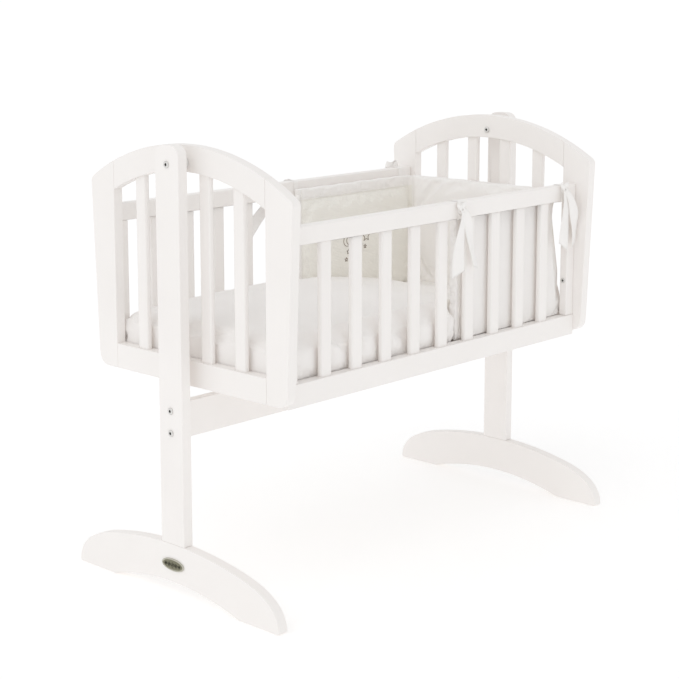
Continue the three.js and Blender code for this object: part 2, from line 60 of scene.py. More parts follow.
# ---------- materials
def new_material(name, color, roughness, **constant):
    """A Principled material with these constant inputs, its node tree and its shader."""
    made = bpy.data.materials.new(name)
    made.use_nodes = True
    tree = made.node_tree
    shader = tree.nodes["Principled BSDF"]
    shader.inputs["Base Color"].default_value = (*color, 1)
    shader.inputs["Roughness"].default_value = roughness
    for socket, value in constant.items():
        shader.inputs[socket.replace("_", " ")].default_value = value
    return made, tree, shader


def texture(tree, kind, scale, **inputs):
    """A 3D texture over the piece's own coordinates, stretched by scale along each axis."""
    coord = tree.nodes.new("ShaderNodeTexCoord")
    mapping = tree.nodes.new("ShaderNodeMapping")
    mapping.inputs["Scale"].default_value = scale
    tree.links.new(coord.outputs["Object"], mapping.inputs["Vector"])
    made = tree.nodes.new(kind)
    for socket, value in inputs.items():
        made.inputs[socket].default_value = value
    tree.links.new(mapping.outputs["Vector"], made.inputs["Vector"])
    return made


def noise_of(tree, scale, detail=3.0, roughness=0.5):
    """Noise with one scale, or with a list of one for each axis."""
    scale = scale if isinstance(scale, list) else [scale] * 3
    made = texture(tree, "ShaderNodeTexNoise", scale, Scale=1.0, Detail=detail, Roughness=roughness)
    return made.outputs["Fac"]


def waves_of(tree, axis, period, distortion):
    """Parallel bands across one axis, with their period in metres."""
    made = texture(tree, "ShaderNodeTexWave", (1, 1, 1), Scale=math.pi / 10 / period, Distortion=distortion)
    made.bands_direction = axis
    made.inputs["Detail Scale"].default_value = 1.5
    return made.outputs["Fac"]


def tint(tree, shader, factor, low, high):
    """Base colour that wanders between low and high."""
    made = tree.nodes.new("ShaderNodeMix")
    made.data_type = "RGBA"
    made.inputs[6].default_value = (*low, 1)
    made.inputs[7].default_value = (*high, 1)
    tree.links.new(factor, made.inputs[0])
    tree.links.new(made.outputs[2], shader.inputs["Base Color"])


def span(tree, factor, low, high):
    made = tree.nodes.new("ShaderNodeMapRange")
    made.inputs["From Min"].default_value = 0.3
    made.inputs["From Max"].default_value = 0.7
    made.inputs["To Min"].default_value = low
    made.inputs["To Max"].default_value = high
    tree.links.new(factor, made.inputs["Value"])
    return made.outputs["Result"]


def add_of(tree, *factors):
    total = factors[0]
    for factor in factors[1:]:
        made = tree.nodes.new("ShaderNodeMath")
        made.operation = "ADD"
        tree.links.new(total, made.inputs[0])
        tree.links.new(factor, made.inputs[1])
        total = made.outputs[0]
    return total


def bump(tree, shader, *layers):
    """Chains bump layers, each a height factor with its depth in metres."""
    normal = None
    for height, depth in layers:
        made = tree.nodes.new("ShaderNodeBump")
        made.inputs["Strength"].default_value = 1.0
        made.inputs["Distance"].default_value = depth
        tree.links.new(height, made.inputs["Height"])
        if normal is not None:
            tree.links.new(normal, made.inputs["Normal"])
        normal = made.outputs["Normal"]
    tree.links.new(normal, shader.inputs["Normal"])


PAINT_LOW = (0.900, 0.872, 0.850)
PAINT_HIGH = (0.920, 0.893, 0.872)


def painted_wood(name, grain_axis):
    """Satin white paint: faint brush streaks along the grain, and a slight orange peel."""
    made, tree, shader = new_material(name, PAINT_HIGH, 0.36)
    along = [170.0, 170.0, 170.0]
    along[grain_axis] = 5.0
    streaks = noise_of(tree, along, 4.0, 0.6)
    wide = [38.0, 38.0, 38.0]
    wide[grain_axis] = 2.2
    grain = noise_of(tree, wide, 5.0, 0.55)
    peel = noise_of(tree, 520, 2.0)
    patches = noise_of(tree, 7, 3.0)
    tint(tree, shader, span(tree, patches, 0, 1), PAINT_LOW, PAINT_HIGH)
    tree.links.new(span(tree, streaks, 0.30, 0.44), shader.inputs["Roughness"])
    bump(tree, shader, (grain, 0.00035), (streaks, 0.00012), (peel, 0.00003))
    return made


def woven_cotton(name, low, high, thread, depth, mottle=0.6, sheen=0.25, puffs=0.0):
    """Woven cloth: crossed threads on every face, soft mottling and a light sheen."""
    made, tree, shader = new_material(
        name, high, 0.86, Sheen_Weight=sheen, Sheen_Roughness=0.45, Specular_IOR_Level=0.25
    )
    threads = add_of(tree, *[waves_of(tree, axis, thread, 1.2) for axis in "XYZ"])
    patches = noise_of(tree, 9, 4.0, mottle)
    slubs = noise_of(tree, 330, 3.0)
    tint(tree, shader, span(tree, patches, 0, 1), low, high)
    layers = [(noise_of(tree, 28, 3.0), puffs)] if puffs else []
    bump(tree, shader, *layers, (threads, depth), (slubs, depth))
    return made


PAINTS = [painted_wood("white_paint_" + axis, i) for i, axis in enumerate("xyz")]
QUILT_COTTON = woven_cotton(
    "quilt_cotton", (0.930, 0.906, 0.886), (0.950, 0.928, 0.910), 0.0011, 0.00010, puffs=0.0010
)
MATTRESS_COTTON = woven_cotton(
    "mattress_cotton", (0.910, 0.892, 0.868), (0.930, 0.912, 0.892), 0.0014, 0.00014
)
BUMPER_WHITE = woven_cotton(
    "bumper_white", (0.930, 0.909, 0.890), (0.950, 0.931, 0.914), 0.0011, 0.00010, puffs=0.0008
)
BUMPER_CREAM = woven_cotton(
    "bumper_cream", (0.898, 0.880, 0.828), (0.922, 0.906, 0.860), 0.0038, 0.00028, puffs=0.0006
)
PIPING = woven_cotton("piping_cotton", (0.90, 0.88, 0.84), (0.925, 0.905, 0.872), 0.0012, 0.00015)
RIBBON = woven_cotton(
    "ribbon_cotton", (0.925, 0.905, 0.885), (0.945, 0.927, 0.910), 0.0010, 0.00008, sheen=0.4
)
THREAD = woven_cotton(
    "embroidery_thread", (0.20, 0.15, 0.11), (0.28, 0.21, 0.16), 0.0009, 0.00012, sheen=0.5
)


def steel():
    made, tree, shader = new_material("zinc_steel", (0.72, 0.71, 0.69), 0.32, Metallic=1.0)
    cloud = noise_of(tree, 260, 4.0)
    tint(tree, shader, cloud, (0.66, 0.65, 0.63), (0.79, 0.78, 0.76))
    tree.links.new(span(tree, cloud, 0.24, 0.42), shader.inputs["Roughness"])
    bump(tree, shader, (noise_of(tree, 900, 2.0), 0.00002))
    return made


def plastic():
    made, tree, shader = new_material("white_plastic", (0.74, 0.735, 0.72), 0.4)
    grain = noise_of(tree, 1400, 2.0)
    tint(tree, shader, grain, (0.71, 0.705, 0.69), (0.77, 0.765, 0.75))
    bump(tree, shader, (grain, 0.00004))
    return made


def pewter(name, low, high, roughness):
    """Aged metal of the foot plate, darker where polish hasn't reached."""
    made, tree, shader = new_material(name, high, roughness, Metallic=0.85)
    stain = noise_of(tree, 420, 5.0, 0.65)
    tint(tree, shader, span(tree, stain, 0, 1), low, high)
    tree.links.new(span(tree, stain, roughness - 0.08, roughness + 0.15), shader.inputs["Roughness"])
    bump(tree, shader, (stain, 0.00008))
    return made


STEEL = steel()
# near-black metal for the bolts' hexagon sockets: painted shade, standing in for the shade deep inside each
# socket
SOCKET_SHADE = pewter("socket_painted_shade", (0.045, 0.044, 0.042), (0.09, 0.088, 0.084), 0.5)
PLASTIC = plastic()
PEWTER = pewter("bright_pewter", (0.44, 0.43, 0.36), (0.68, 0.66, 0.58), 0.32)
OLIVE = pewter("olive_pewter", (0.17, 0.165, 0.11), (0.30, 0.29, 0.21), 0.42)
ENAMEL = pewter("dark_enamel", (0.03, 0.03, 0.022), (0.06, 0.058, 0.045), 0.45)


# ---------- CAD nodes: paint and softened edges
def finish_node(node, material, bevel):
    """Paints a CAD node, and softens its edges with modifiers that leave its mesh as it is."""
    mesh = node.data
    mesh.materials.clear()
    mesh.materials.append(material)
    if "custom_normal" in mesh.attributes:
        mesh.attributes.remove(mesh.attributes["custom_normal"])
    mesh.shade_smooth()
    weld = node.modifiers.new("weld", "WELD")
    weld.merge_threshold = 0.00001
    if bevel:
        flat = node.modifiers.new("flat", "DECIMATE")
        flat.decimate_type = "DISSOLVE"
        flat.angle_limit = math.radians(0.6)
        edge = node.modifiers.new("edge", "BEVEL")
        edge.width = bevel
        edge.segments = 3
        edge.limit_method = "ANGLE"
        edge.angle_limit = math.radians(35)
        edge.use_clamp_overlap = False
    normals = node.modifiers.new("normals", "WEIGHTED_NORMAL")
    normals.mode = "FACE_AREA"
    normals.weight = 60


# the first word found in a node's name gives its material and its softened edge
ALONG_X, ALONG_Y, ALONG_Z = PAINTS
FINISHES = (
    ("bolt", STEEL, 0),
    ("spacer", PLASTIC, BEVEL_SMALL),
    ("foot_badge", PEWTER, BEVEL_PLATE),
    ("bar_", ALONG_Z, 0),
    ("post", ALONG_Z, BEVEL_PANEL),
    ("upright", ALONG_Z, BEVEL_STAND),
    ("stile", ALONG_Z, BEVEL_PANEL),
    ("foot", ALONG_Y, BEVEL_STAND),
    ("arch_rail", ALONG_Y, BEVEL_PANEL),
    ("sill_rail", ALONG_Y, BEVEL_PANEL),
    ("top_rail", ALONG_X, BEVEL_RAIL),
    ("rail", ALONG_X, BEVEL_STAND),
    ("stretcher", ALONG_X, BEVEL_STAND),
    ("", ALONG_X, BEVEL_SMALL),
)
for name, node in NODES.items():
    material, bevel = next(rest for word, *rest in FINISHES if word in name)
    finish_node(node, material, bevel)


# ---------- mesh helpers
def add_mesh(name, points, faces, material, body):
    mesh = bpy.data.meshes.new(name)
    mesh.from_pydata([tuple(p) for p in points], [], [tuple(f) for f in faces])
    shell = bmesh.new()
    shell.from_mesh(mesh)
    bmesh.ops.recalc_face_normals(shell, faces=shell.faces)
    shell.to_mesh(mesh)
    shell.free()
    mesh.update()
    mesh.materials.append(material)
    mesh.shade_smooth()
    made = bpy.data.objects.new(name, mesh)
    scene.collection.objects.link(made)
    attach(made, body)
    return made


def frames_along(path, normals):
    """Side and normal at each path point, with the normal made square to the path."""
    path = np.asarray(path, float)
    tangents = np.gradient(path, axis=0)
    tangents /= np.linalg.norm(tangents, axis=1)[:, None]
    normals = np.asarray(normals, float)
    if normals.ndim == 1:
        normals = np.repeat(normals[None], len(path), 0)
    normals = normals - (normals * tangents).sum(1)[:, None] * tangents
    normals /= np.linalg.norm(normals, axis=1)[:, None]
    return path, np.cross(normals, tangents), normals


def tube_faces(count, around, closed):
    """Faces between count rings of around points each; closed joins the last ring to the first."""
    faces = []
    for i in range(count if closed else count - 1):
        a, b = i * around, (i + 1) % count * around
        for j in range(around):
            k = (j + 1) % around
            faces.append((a + j, a + k, b + k, b + j))
    return faces


def section_points(path, sides, normals, section, widths=1.0):
    """The points of a section (side, normal offsets) set at every path point."""
    section = np.asarray(section, float)
    reach = np.broadcast_to(widths, len(path))[:, None, None]
    across = sides[:, None] * section[None, :, :1] * reach
    return (path[:, None] + across + normals[:, None] * section[None, :, 1:]).reshape(-1, 3)


def swept(path, normals, section, widths=1.0):
    """Points and faces of a section (side, normal offsets) carried along a path."""
    path, sides, normals = frames_along(path, normals)
    points = section_points(path, sides, normals, section, widths)
    first_cap = tuple(range(len(section)))[::-1]
    last_cap = tuple(range(len(points) - len(section), len(points)))
    return points, [*tube_faces(len(path), len(section), False), first_cap, last_cap]


def flat_section(width, thick, steps=8, cup=0.0):
    """A thin strip's section with rounded edges; cup lifts its middle."""
    half = width / 2
    across = np.linspace(-1, 1, steps + 1)
    lift = cup * (1 - across**2)
    top = [(x * half, thick / 2 + z) for x, z in zip(across, lift)]
    low = [(x * half, -thick / 2 + z) for x, z in zip(across[::-1], lift[::-1])]
    return [(-half - thick / 3, 0), *top, (half + thick / 3, 0), *low]


def round_section(radius, steps=10):
    angles = np.linspace(0, 2 * math.pi, steps, endpoint=False)
    return [(radius * math.cos(a), radius * math.sin(a)) for a in angles]


def resample(points, count):
    """The same polyline, smoothed as a Catmull-Rom curve, with count points."""
    points = np.asarray(points, float)
    ext = np.vstack([2 * points[0] - points[1], points, 2 * points[-1] - points[-2]])
    out = []
    for u in np.linspace(0, len(points) - 1, count):
        i = min(int(u), len(points) - 2)
        f = u - i
        p0, p1, p2, p3 = ext[i : i + 4]
        square = 2 * p0 - 5 * p1 + 4 * p2 - p3
        cube = 3 * p1 - p0 - 3 * p2 + p3
        out.append(0.5 * (2 * p1 + (p2 - p0) * f + square * f**2 + cube * f**3))
    return np.array(out)


def joined(parts):
    """Several (points, faces) shells as one."""
    points, faces, start = [], [], 0
    for p, f in parts:
        points.extend(map(tuple, p))
        faces.extend(tuple(i + start for i in face) for face in f)
        start += len(p)
    return points, faces


def centre_of(node):
    low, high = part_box(node)
    return (low + high) / 2


# ---------- bolts with a hexagon socket
HEAD_HEIGHT = 0.0026
HEAD_STEPS = 48
SOCKET_FACES = 2 * HEAD_STEPS + 1


def socket_head(centre, outward, radius, height, shank_radius, shank):
    """A domed bolt head with a hexagon socket; shank reaches back from the seat."""
    outward = Vector(outward)
    side = outward.orthogonal().normalized()
    other = outward.cross(side)
    steps = HEAD_STEPS
    socket = radius * 0.44

    def ring(r, h, hexagon=False):
        out = []
        for i in range(steps):
            a = 2 * math.pi * i / steps
            reach = r
            if hexagon:
                local = (a % (math.pi / 3)) - math.pi / 6
                reach = r * math.cos(math.pi / 6) / math.cos(local)
            radial = side * math.cos(a) + other * math.sin(a)
            out.append(Vector(centre) + radial * reach + outward * h)
        return out

    rings = [
        ring(shank_radius * 0.7, -shank),
        ring(shank_radius, -shank + shank_radius * 0.3),
        ring(shank_radius, 0.0),
        ring(radius * 0.96, 0.0),
        ring(radius, height * 0.12),
        ring(radius, height * 0.45),
        ring(radius * 0.965, height * 0.72),
        ring(radius * 0.88, height * 0.92),
        ring(radius * 0.72, height),
        ring(socket * 1.16, height),
        ring(socket * 1.05, height * 0.97, True),
        ring(socket, height * 0.86, True),
        ring(socket, height * 0.30, True),
        ring(socket * 0.6, height * 0.22, True),
    ]
    points = [p for r in rings for p in r]
    last = (len(rings) - 1) * steps
    first_cap = tuple(range(steps))[::-1]
    last_cap = tuple(range(last, last + steps))
    return points, [first_cap, *tube_faces(len(rings), steps, False), last_cap]


def bolt(name, centre, outward, radius, height, body, node=None, shank_radius=0.003, shank=0.012):
    points, faces = socket_head(centre, outward, radius, height, shank_radius, shank)
    made = add_mesh(name, points, faces, STEEL, body)
    # the faces inside the hexagon socket take the near-black metal: painted shade for the socket's depth
    made.data.materials.append(SOCKET_SHADE)
    for polygon in made.data.polygons[-SOCKET_FACES:]:
        polygon.material_index = 1
    made.modifiers.new("normals", "WEIGHTED_NORMAL").weight = 60
    if node:
        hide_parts(node)
    return made


HEAD_RADIUS = 0.007
FRAME_HEAD_RADIUS = 0.006
FRAME_BOLT_HEIGHTS = {"lower": 0.532, "upper": 0.660}


def stretcher_bolts(side, sign, outer):
    for level in ("lower", "upper"):
        node = f"{side}_stretcher_bolt_{level}"
        centre = (outer, *centre_of(node).yz)
        bolt(node + "_head", centre, (sign, 0, 0), HEAD_RADIUS, HEAD_HEIGHT, "stand", node, 0.003, 0.045)


def pivot_bolt(side, sign, outer):
    """The bolt through upright, spacer and arch rail, and its nut on the rail's inner face."""
    node = side + "_pivot_bolt"
    level = centre_of(node).z
    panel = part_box(side + "_arch_rail")
    inner = panel[1].x if sign < 0 else panel[0].x
    length = abs(outer - inner) - 0.001
    nut_seat = (inner - sign * 0.0002, 0, level)
    head_seat = (outer, 0, level)
    bolt(node + "_head", head_seat, (sign, 0, 0), HEAD_RADIUS, HEAD_HEIGHT, "stand", node, 0.004, length)
    bolt(side + "_pivot_nut", nut_seat, (-sign, 0, 0), HEAD_RADIUS, 0.003, "stand", None, 0.004, 0.004)


def frame_bolts(side, sign):
    """Heads on the end posts' inner faces: these bolts hold the side frames to the end panels."""
    for face_name in ("front", "back"):
        low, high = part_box(f"{face_name}_{side}_post")
        seat = high.x if sign < 0 else low.x
        middle = (low.y + high.y) / 2
        for level, z in FRAME_BOLT_HEIGHTS.items():
            name = f"{face_name}_{side}_frame_bolt_{level}"
            bolt(name, (seat, middle, z), (-sign, 0, 0), FRAME_HEAD_RADIUS, 0.0022, "cradle")


for side, sign in (("left", -1), ("right", 1)):
    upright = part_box(side + "_upright")
    outer_face = upright[0].x if sign < 0 else upright[1].x
    stretcher_bolts(side, sign, outer_face)
    pivot_bolt(side, sign, outer_face)
    frame_bolts(side, sign)


# ---------- foot plate: rim, field, plain ornament
PLATE_STEPS = 96
FLOWER_PITCH = 0.0098
FLOWER_SIZE = 0.0052


def oval(centre, lift, reach_y, reach_z, angles):
    """Points round the plate's outward axis, lifted off its face; a reach may vary with the angle."""
    y = centre.y + reach_y * np.cos(angles)
    z = centre.z + reach_z * np.sin(angles)
    return np.stack([np.full(len(angles), centre.x - lift), y, z], 1)


def foot_plate():
    """A raised rim, a slightly domed field, and a row of five plain flowers in place of lettering."""
    low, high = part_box("foot_badge")
    half = (high - low) / 2
    centre = Vector((low.x, *centre_of("foot_badge").yz))
    angles = np.linspace(0, 2 * math.pi, PLATE_STEPS, endpoint=False)
    path = oval(centre, 0, half.y * 0.955, half.z * 0.89, angles)
    loop = [path[-1], *path, path[0]]
    points, faces = swept(loop, (-1, 0, 0), round_section(0.0009, 8))
    add_mesh("foot_badge_rim", points, faces, PEWTER, "stand")
    points = []
    for share_y, share_z, lift in ((0.88, 0.76, 0.0001), (0.86, 0.72, 0.0004), (0.4, 0.34, 0.00045)):
        points.extend(oval(centre, lift, half.y * share_y, half.z * share_z, angles))
    last, middle = len(points) - PLATE_STEPS, len(points)
    points.append((centre.x - 0.00047, centre.y, centre.z))
    faces = tube_faces(3, PLATE_STEPS, False)
    faces += [(last + j, middle, last + (j + 1) % PLATE_STEPS) for j in range(PLATE_STEPS)]
    add_mesh("foot_badge_field", points, faces, OLIVE, "stand")
    parts = []
    for k in range(-2, 3):
        size = FLOWER_SIZE - 0.0009 * abs(k)
        at = centre + Vector((0, k * FLOWER_PITCH, 0))
        angles = np.linspace(0, 2 * math.pi, 25)
        petals = size * (0.62 + 0.38 * np.cos(2 * angles) ** 2)
        parts.append(swept(oval(at, 0.0006, petals, petals, angles), (-1, 0, 0), round_section(0.00045, 6)))
        angles = np.linspace(0, 2 * math.pi, 17)
        eye = size * 0.3
        parts.append(swept(oval(at, 0.0006, eye, eye, angles), (-1, 0, 0), round_section(0.0005, 6)))
    points, faces = joined(parts)
    add_mesh("foot_badge_ornament", points, faces, ENAMEL, "stand")


foot_plate()


# ---------- soft pieces
def evaluated_copy(obj, name):
    """A new mesh of obj with its modifiers applied."""
    dg = bpy.context.evaluated_depsgraph_get()
    mesh = bpy.data.meshes.new_from_object(obj.evaluated_get(dg))
    mesh.name = name
    return mesh


def read_all(items, field, width, kind=np.float64):
    """One field of every vertex or edge, as rows of this width."""
    out = np.zeros(len(items) * width, kind)
    items.foreach_get(field, out)
    return out.reshape(-1, width)


def coords(mesh):
    return read_all(mesh.vertices, "co", 3)


def set_coords(mesh, values):
    mesh.vertices.foreach_set("co", np.asarray(values, np.float32).ravel())
    mesh.update()


def normals_of(mesh):
    return read_all(mesh.vertices, "normal", 3)


def edges_of(mesh):
    return read_all(mesh.edges, "vertices", 2, np.int64)


def relaxed(points, edges, rounds, share=0.5):
    """Laplacian smoothing."""
    points = points.copy()
    count = np.zeros(len(points))
    np.add.at(count, edges[:, 0], 1)
    np.add.at(count, edges[:, 1], 1)
    for _ in range(rounds):
        total = np.zeros_like(points)
        np.add.at(total, edges[:, 0], points[edges[:, 1]])
        np.add.at(total, edges[:, 1], points[edges[:, 0]])
        points += share * (total / count[:, None] - points)
    return points


def volume_of(mesh):
    shell = bmesh.new()
    shell.from_mesh(mesh)
    volume = shell.calc_volume()
    shell.free()
    return volume


def soft_copy(name, node, voxel, rounds, inset):
    """A remeshed copy of a CAD solid, rounded and drawn in a little, ready to swell."""
    source = bpy.data.objects.new(name + "_source", NODES[node].data.copy())
    scene.collection.objects.link(source)
    weld = source.modifiers.new("weld", "WELD")
    weld.merge_threshold = 0.00001
    whole = volume_of(evaluated_copy(source, name + "_whole"))
    remesh = source.modifiers.new("remesh", "REMESH")
    remesh.mode = "VOXEL"
    # a remesh can lose part of a solid at one voxel size and keep it at another
    for share in (1.0, 0.94, 0.89, 0.84):
        remesh.voxel_size = voxel * share
        mesh = evaluated_copy(source, name)
        if volume_of(mesh) > 0.97 * whole:
            break
    bpy.data.objects.remove(source)
    made = bpy.data.objects.new(name, mesh)
    scene.collection.objects.link(made)
    points = relaxed(coords(mesh), edges_of(mesh), rounds)
    set_coords(mesh, points)
    set_coords(mesh, points - normals_of(mesh) * inset)
    return made


CLOTH = {
    "quality": 4,
    "mass": 0.25,
    "air_damping": 2.0,
    "tension_stiffness": 12,
    "compression_stiffness": 12,
    "shear_stiffness": 5,
    "use_pressure": True,
    "pin_stiffness": 1.0,
}


def swell(obj, held, pressure, grow, cap, bending=0.6):
    """Cloth simulation under inner pressure. Held is each point's share that stays put.

    Grow is the cloth's stretch at rest, and cap the most that any point may move.
    """
    mesh = obj.data
    before = coords(mesh)
    group = obj.vertex_groups.new(name="held")
    for level in np.unique(np.round(held, 1)):
        if level > 0:
            group.add([int(i) for i in np.flatnonzero(np.round(held, 1) == level)], float(level), "REPLACE")
    cloth = obj.modifiers.new("cloth", "CLOTH")
    settings = cloth.settings
    for name, value in CLOTH.items():
        setattr(settings, name, value)
    settings.bending_stiffness = bending
    settings.effector_weights.gravity = 0
    settings.uniform_pressure_force = pressure
    settings.shrink_min = -grow
    settings.vertex_group_mass = "held"
    cloth.point_cache.frame_start = 1
    cloth.point_cache.frame_end = SIM_FRAMES
    for step in range(1, SIM_FRAMES + 1):
        scene.frame_set(step)
    shaped = evaluated_copy(obj, obj.name)
    after = coords(shaped)
    obj.modifiers.clear()
    obj.vertex_groups.clear()
    bpy.data.meshes.remove(shaped)
    scene.frame_set(1)
    move = after - before
    long = np.linalg.norm(move, axis=1)
    move *= np.minimum(1, cap / np.maximum(long, 1e-9))[:, None]
    set_coords(mesh, before + move)


def finish_soft(obj, material, node):
    mesh = obj.data
    mesh.materials.clear()
    mesh.materials.append(material)
    mesh.shade_smooth()
    detail = obj.modifiers.new("detail", "SUBSURF")
    detail.levels = detail.render_levels = 1
    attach(obj, "cradle")
    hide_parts(node)
    return obj


def ridge(points, start, end, width, height):
    """Height over a soft ridge line drawn in plan from start to end."""
    a, b = np.array(start), np.array(end)
    d = b - a
    t = np.clip(((points[:, :2] - a) @ d) / (d @ d), 0, 1)
    off = np.linalg.norm(points[:, :2] - a - t[:, None] * d, axis=1)
    return height * np.exp(-((off / width) ** 2)) * np.sin(np.pi * np.clip(t, 0.02, 0.98)) ** 0.6


# ---------- mattress
MATTRESS_CROWN = 0.0035
MATTRESS_SINK = 0.0025
BUMPER_FROM = 0.42


def make_mattress():
    """Gently crowned, but flat where the bumper's head part stands on it."""
    made = soft_copy("mattress_pad", "mattress", voxel=0.006, rounds=3, inset=0.001)
    points = coords(made.data)
    low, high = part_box("mattress")
    middle, half = (low + high) / 2, (high - low) / 2
    across = 1 - np.abs((points[:, 1] - middle.y) / half.y) ** 6
    along = 1 - np.abs((points[:, 0] - middle.x) / half.x) ** 10
    upper = points[:, 2] > middle.z
    under_bumper = points[:, 0] > BUMPER_FROM
    crown = MATTRESS_CROWN * across * along - MATTRESS_SINK
    points[:, 2] += np.where(upper & ~under_bumper, crown, 0)
    flat = upper & under_bumper & (points[:, 0] < high.x - 0.003) & (points[:, 2] > high.z - 0.006)
    points[:, 2] = np.where(flat, high.z - 0.0004, points[:, 2])
    set_coords(made.data, points)
    return finish_soft(made, MATTRESS_COTTON, "mattress")


make_mattress()


# ---------- quilt
def round_edge(points, axis_a, edge_a, axis_b, edge_b, radius, where=True):
    """Presses the square edge between two faces round; a negative edge faces down its axis."""
    sign_a, sign_b = math.copysign(1, edge_a), math.copysign(1, edge_b)
    a = (points[:, axis_a] * sign_a - abs(edge_a)) / radius + 1
    b = (points[:, axis_b] * sign_b - abs(edge_b)) / radius + 1
    inside = (a > 0) & (b > 0) & where
    share = np.where(inside, np.maximum(a, b) / np.maximum(np.hypot(a, b), 1e-9), 1) - 1
    points[:, axis_a] += np.where(inside, sign_a * a * share * radius, 0)
    points[:, axis_b] += np.where(inside, sign_b * b * share * radius, 0)


def crown_edge(points, side, top, radius, where):
    """Sets the outer skin near a long top edge onto a quarter circle of this radius."""
    a = (np.abs(points[:, 1]) - side) / radius + 1
    b = (points[:, 2] - top) / radius + 1
    reach = np.maximum(np.hypot(a, b), 1e-9)
    onto = (a > 0) & (b > 0) & where
    a_new, b_new = a / reach, b / reach
    points[:, 1] += np.where(onto, np.sign(points[:, 1]) * (a_new - a) * radius, 0)
    points[:, 2] += np.where(onto, (b_new - b) * radius, 0)


BAR_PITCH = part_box("front_bar_2")[0].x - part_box("front_bar_1")[0].x
BARS_LOW = 0.454
# the quilt's sides: how far out they hang, and beside the bumper how far out they may reach
QUILT_SIDE = 0.2285
QUILT_SIDE_INNER = 0.205
QUILT_BESIDE_BUMPER = 0.2062
QUILT_ROUND = 0.034
# it is thick from its foot end to this place, and thins out by this much towards the head
QUILT_THICK_TO = 0.05
QUILT_THINS_BY = 0.033
# the hanging sides end where the bumper's side parts begin, further along at the front
SKIRT_TOP = 0.515
SKIRT_END_FRONT = 0.057
SKIRT_END_BACK = 0.039
SKIRT_REACH = 0.004
PUFF = 0.0075
# soft ridges on top, as plan start, plan end, width and height
QUILT_RIDGES = (
    ((-0.36, -0.12), (-0.20, 0.14), 0.022, 0.0040),
    ((-0.10, -0.18), (0.02, -0.02), 0.018, 0.0045),
    ((0.04, 0.02), (0.16, 0.17), 0.016, 0.0040),
    ((-0.28, 0.16), (-0.05, 0.10), 0.024, 0.0035),
    ((0.06, -0.16), (0.20, -0.10), 0.015, 0.0040),
    ((-0.42, 0.02), (-0.33, 0.16), 0.020, 0.0030),
)


def round_quilt(points):
    """Rounds the quilt's edges before it swells."""
    low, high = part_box("quilt")
    crest = high.z - 0.001
    front_side = points[:, 1] < 0
    skirt_end = np.where(front_side, SKIRT_END_FRONT, SKIRT_END_BACK)
    has_skirt = points[:, 0] < skirt_end + 0.004
    thin_share = np.clip((points[:, 0] - QUILT_THICK_TO) / (high.x - QUILT_THICK_TO), 0, 1)
    top = crest - thin_share * QUILT_THINS_BY
    crown_edge(points, QUILT_SIDE, top, QUILT_ROUND, has_skirt)
    crown_edge(points, QUILT_SIDE_INNER, top, 0.016, ~has_skirt)
    round_edge(points, 0, low.x, 2, crest, 0.030)
    skirt = np.abs(points[:, 1]) > QUILT_SIDE_INNER + 0.001
    round_edge(points, 0, SKIRT_END_FRONT, 2, SKIRT_TOP, 0.022, skirt & front_side)
    round_edge(points, 0, SKIRT_END_BACK, 2, SKIRT_TOP, 0.022, skirt & ~front_side)


def ridge_quilt(points):
    """Adds the soft ridges to the open top."""
    open_top = np.clip((points[:, 2] - 0.500) / 0.012, 0, 1)
    lift = sum(ridge(points, *one) for one in QUILT_RIDGES)
    points[:, 2] += open_top * (lift - 0.0020)


def puff_quilt(points):
    """The sides puff out between the bars, stay behind them at each bar, and end at the bumper."""
    between = 0.5 - 0.5 * np.cos(2 * math.pi * points[:, 0] / BAR_PITCH)
    above_rail = np.clip((points[:, 2] - BARS_LOW) / 0.016, 0, 1)
    below_top = np.clip((SKIRT_TOP + 0.003 - points[:, 2]) / 0.016, 0, 1)
    outer_skin = np.clip((np.abs(points[:, 1]) - 0.214) / 0.010, 0, 1)
    puff = PUFF * between * above_rail * below_top * outer_skin
    skirt_limit = np.where(points[:, 1] < 0, SKIRT_END_FRONT, SKIRT_END_BACK) + SKIRT_REACH
    skirt_tip = (np.abs(points[:, 1]) > 0.2085) & (points[:, 0] > skirt_limit - 0.008)
    points[:, 0] = np.where(skirt_tip, np.minimum(points[:, 0] + 0.003, skirt_limit), points[:, 0])
    beside_bumper = points[:, 0] > skirt_limit + 0.0002
    puff = np.where(beside_bumper, 0, puff)
    side_limit = np.where(beside_bumper, QUILT_BESIDE_BUMPER, QUILT_SIDE)
    points[:, 1] = np.clip(points[:, 1], -side_limit, side_limit) + np.sign(points[:, 1]) * puff


def make_quilt():
    made = soft_copy("quilt_cover", "quilt", voxel=0.006, rounds=3, inset=0.002)
    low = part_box("quilt")[0]
    points = coords(made.data)
    round_quilt(points)
    set_coords(made.data, points)
    under = normals_of(made.data)[:, 2] < -0.6
    hem = points[:, 2] < low.z + 0.010
    swell(made, np.where(under | hem, 1.0, 0.0), pressure=3.0, grow=0.04, cap=0.008)
    points = coords(made.data)
    ridge_quilt(points)
    puff_quilt(points)
    foot_face = low.x - 0.0012
    end_skin = (points[:, 0] < low.x + 0.006) & (points[:, 2] < 0.508)
    points[:, 0] = np.where(end_skin, foot_face, np.maximum(points[:, 0], foot_face))
    set_coords(made.data, points)
    return finish_soft(made, QUILT_COTTON, "quilt")


make_quilt()


# ---------- bumper
# its middle line in plan: two side parts (legs), a corner radius and a head part
BUMPER_LOW, BUMPER_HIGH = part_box("bumper")
LEG_Y = 0.218
HEAD_X = 0.440
TURN = 0.015
LEG_START = BUMPER_LOW.x
LEG_LENGTH = HEAD_X - TURN - LEG_START
HEAD_HALF = LEG_Y - TURN
CORNER_AT = LEG_LENGTH + TURN * math.pi / 4
# the front part is shorter: it starts this far along
FRONT_END = 0.062 - LEG_START
# the white band along its inner top edge, and the bound ends
BAND = 0.027
BINDING = 0.012
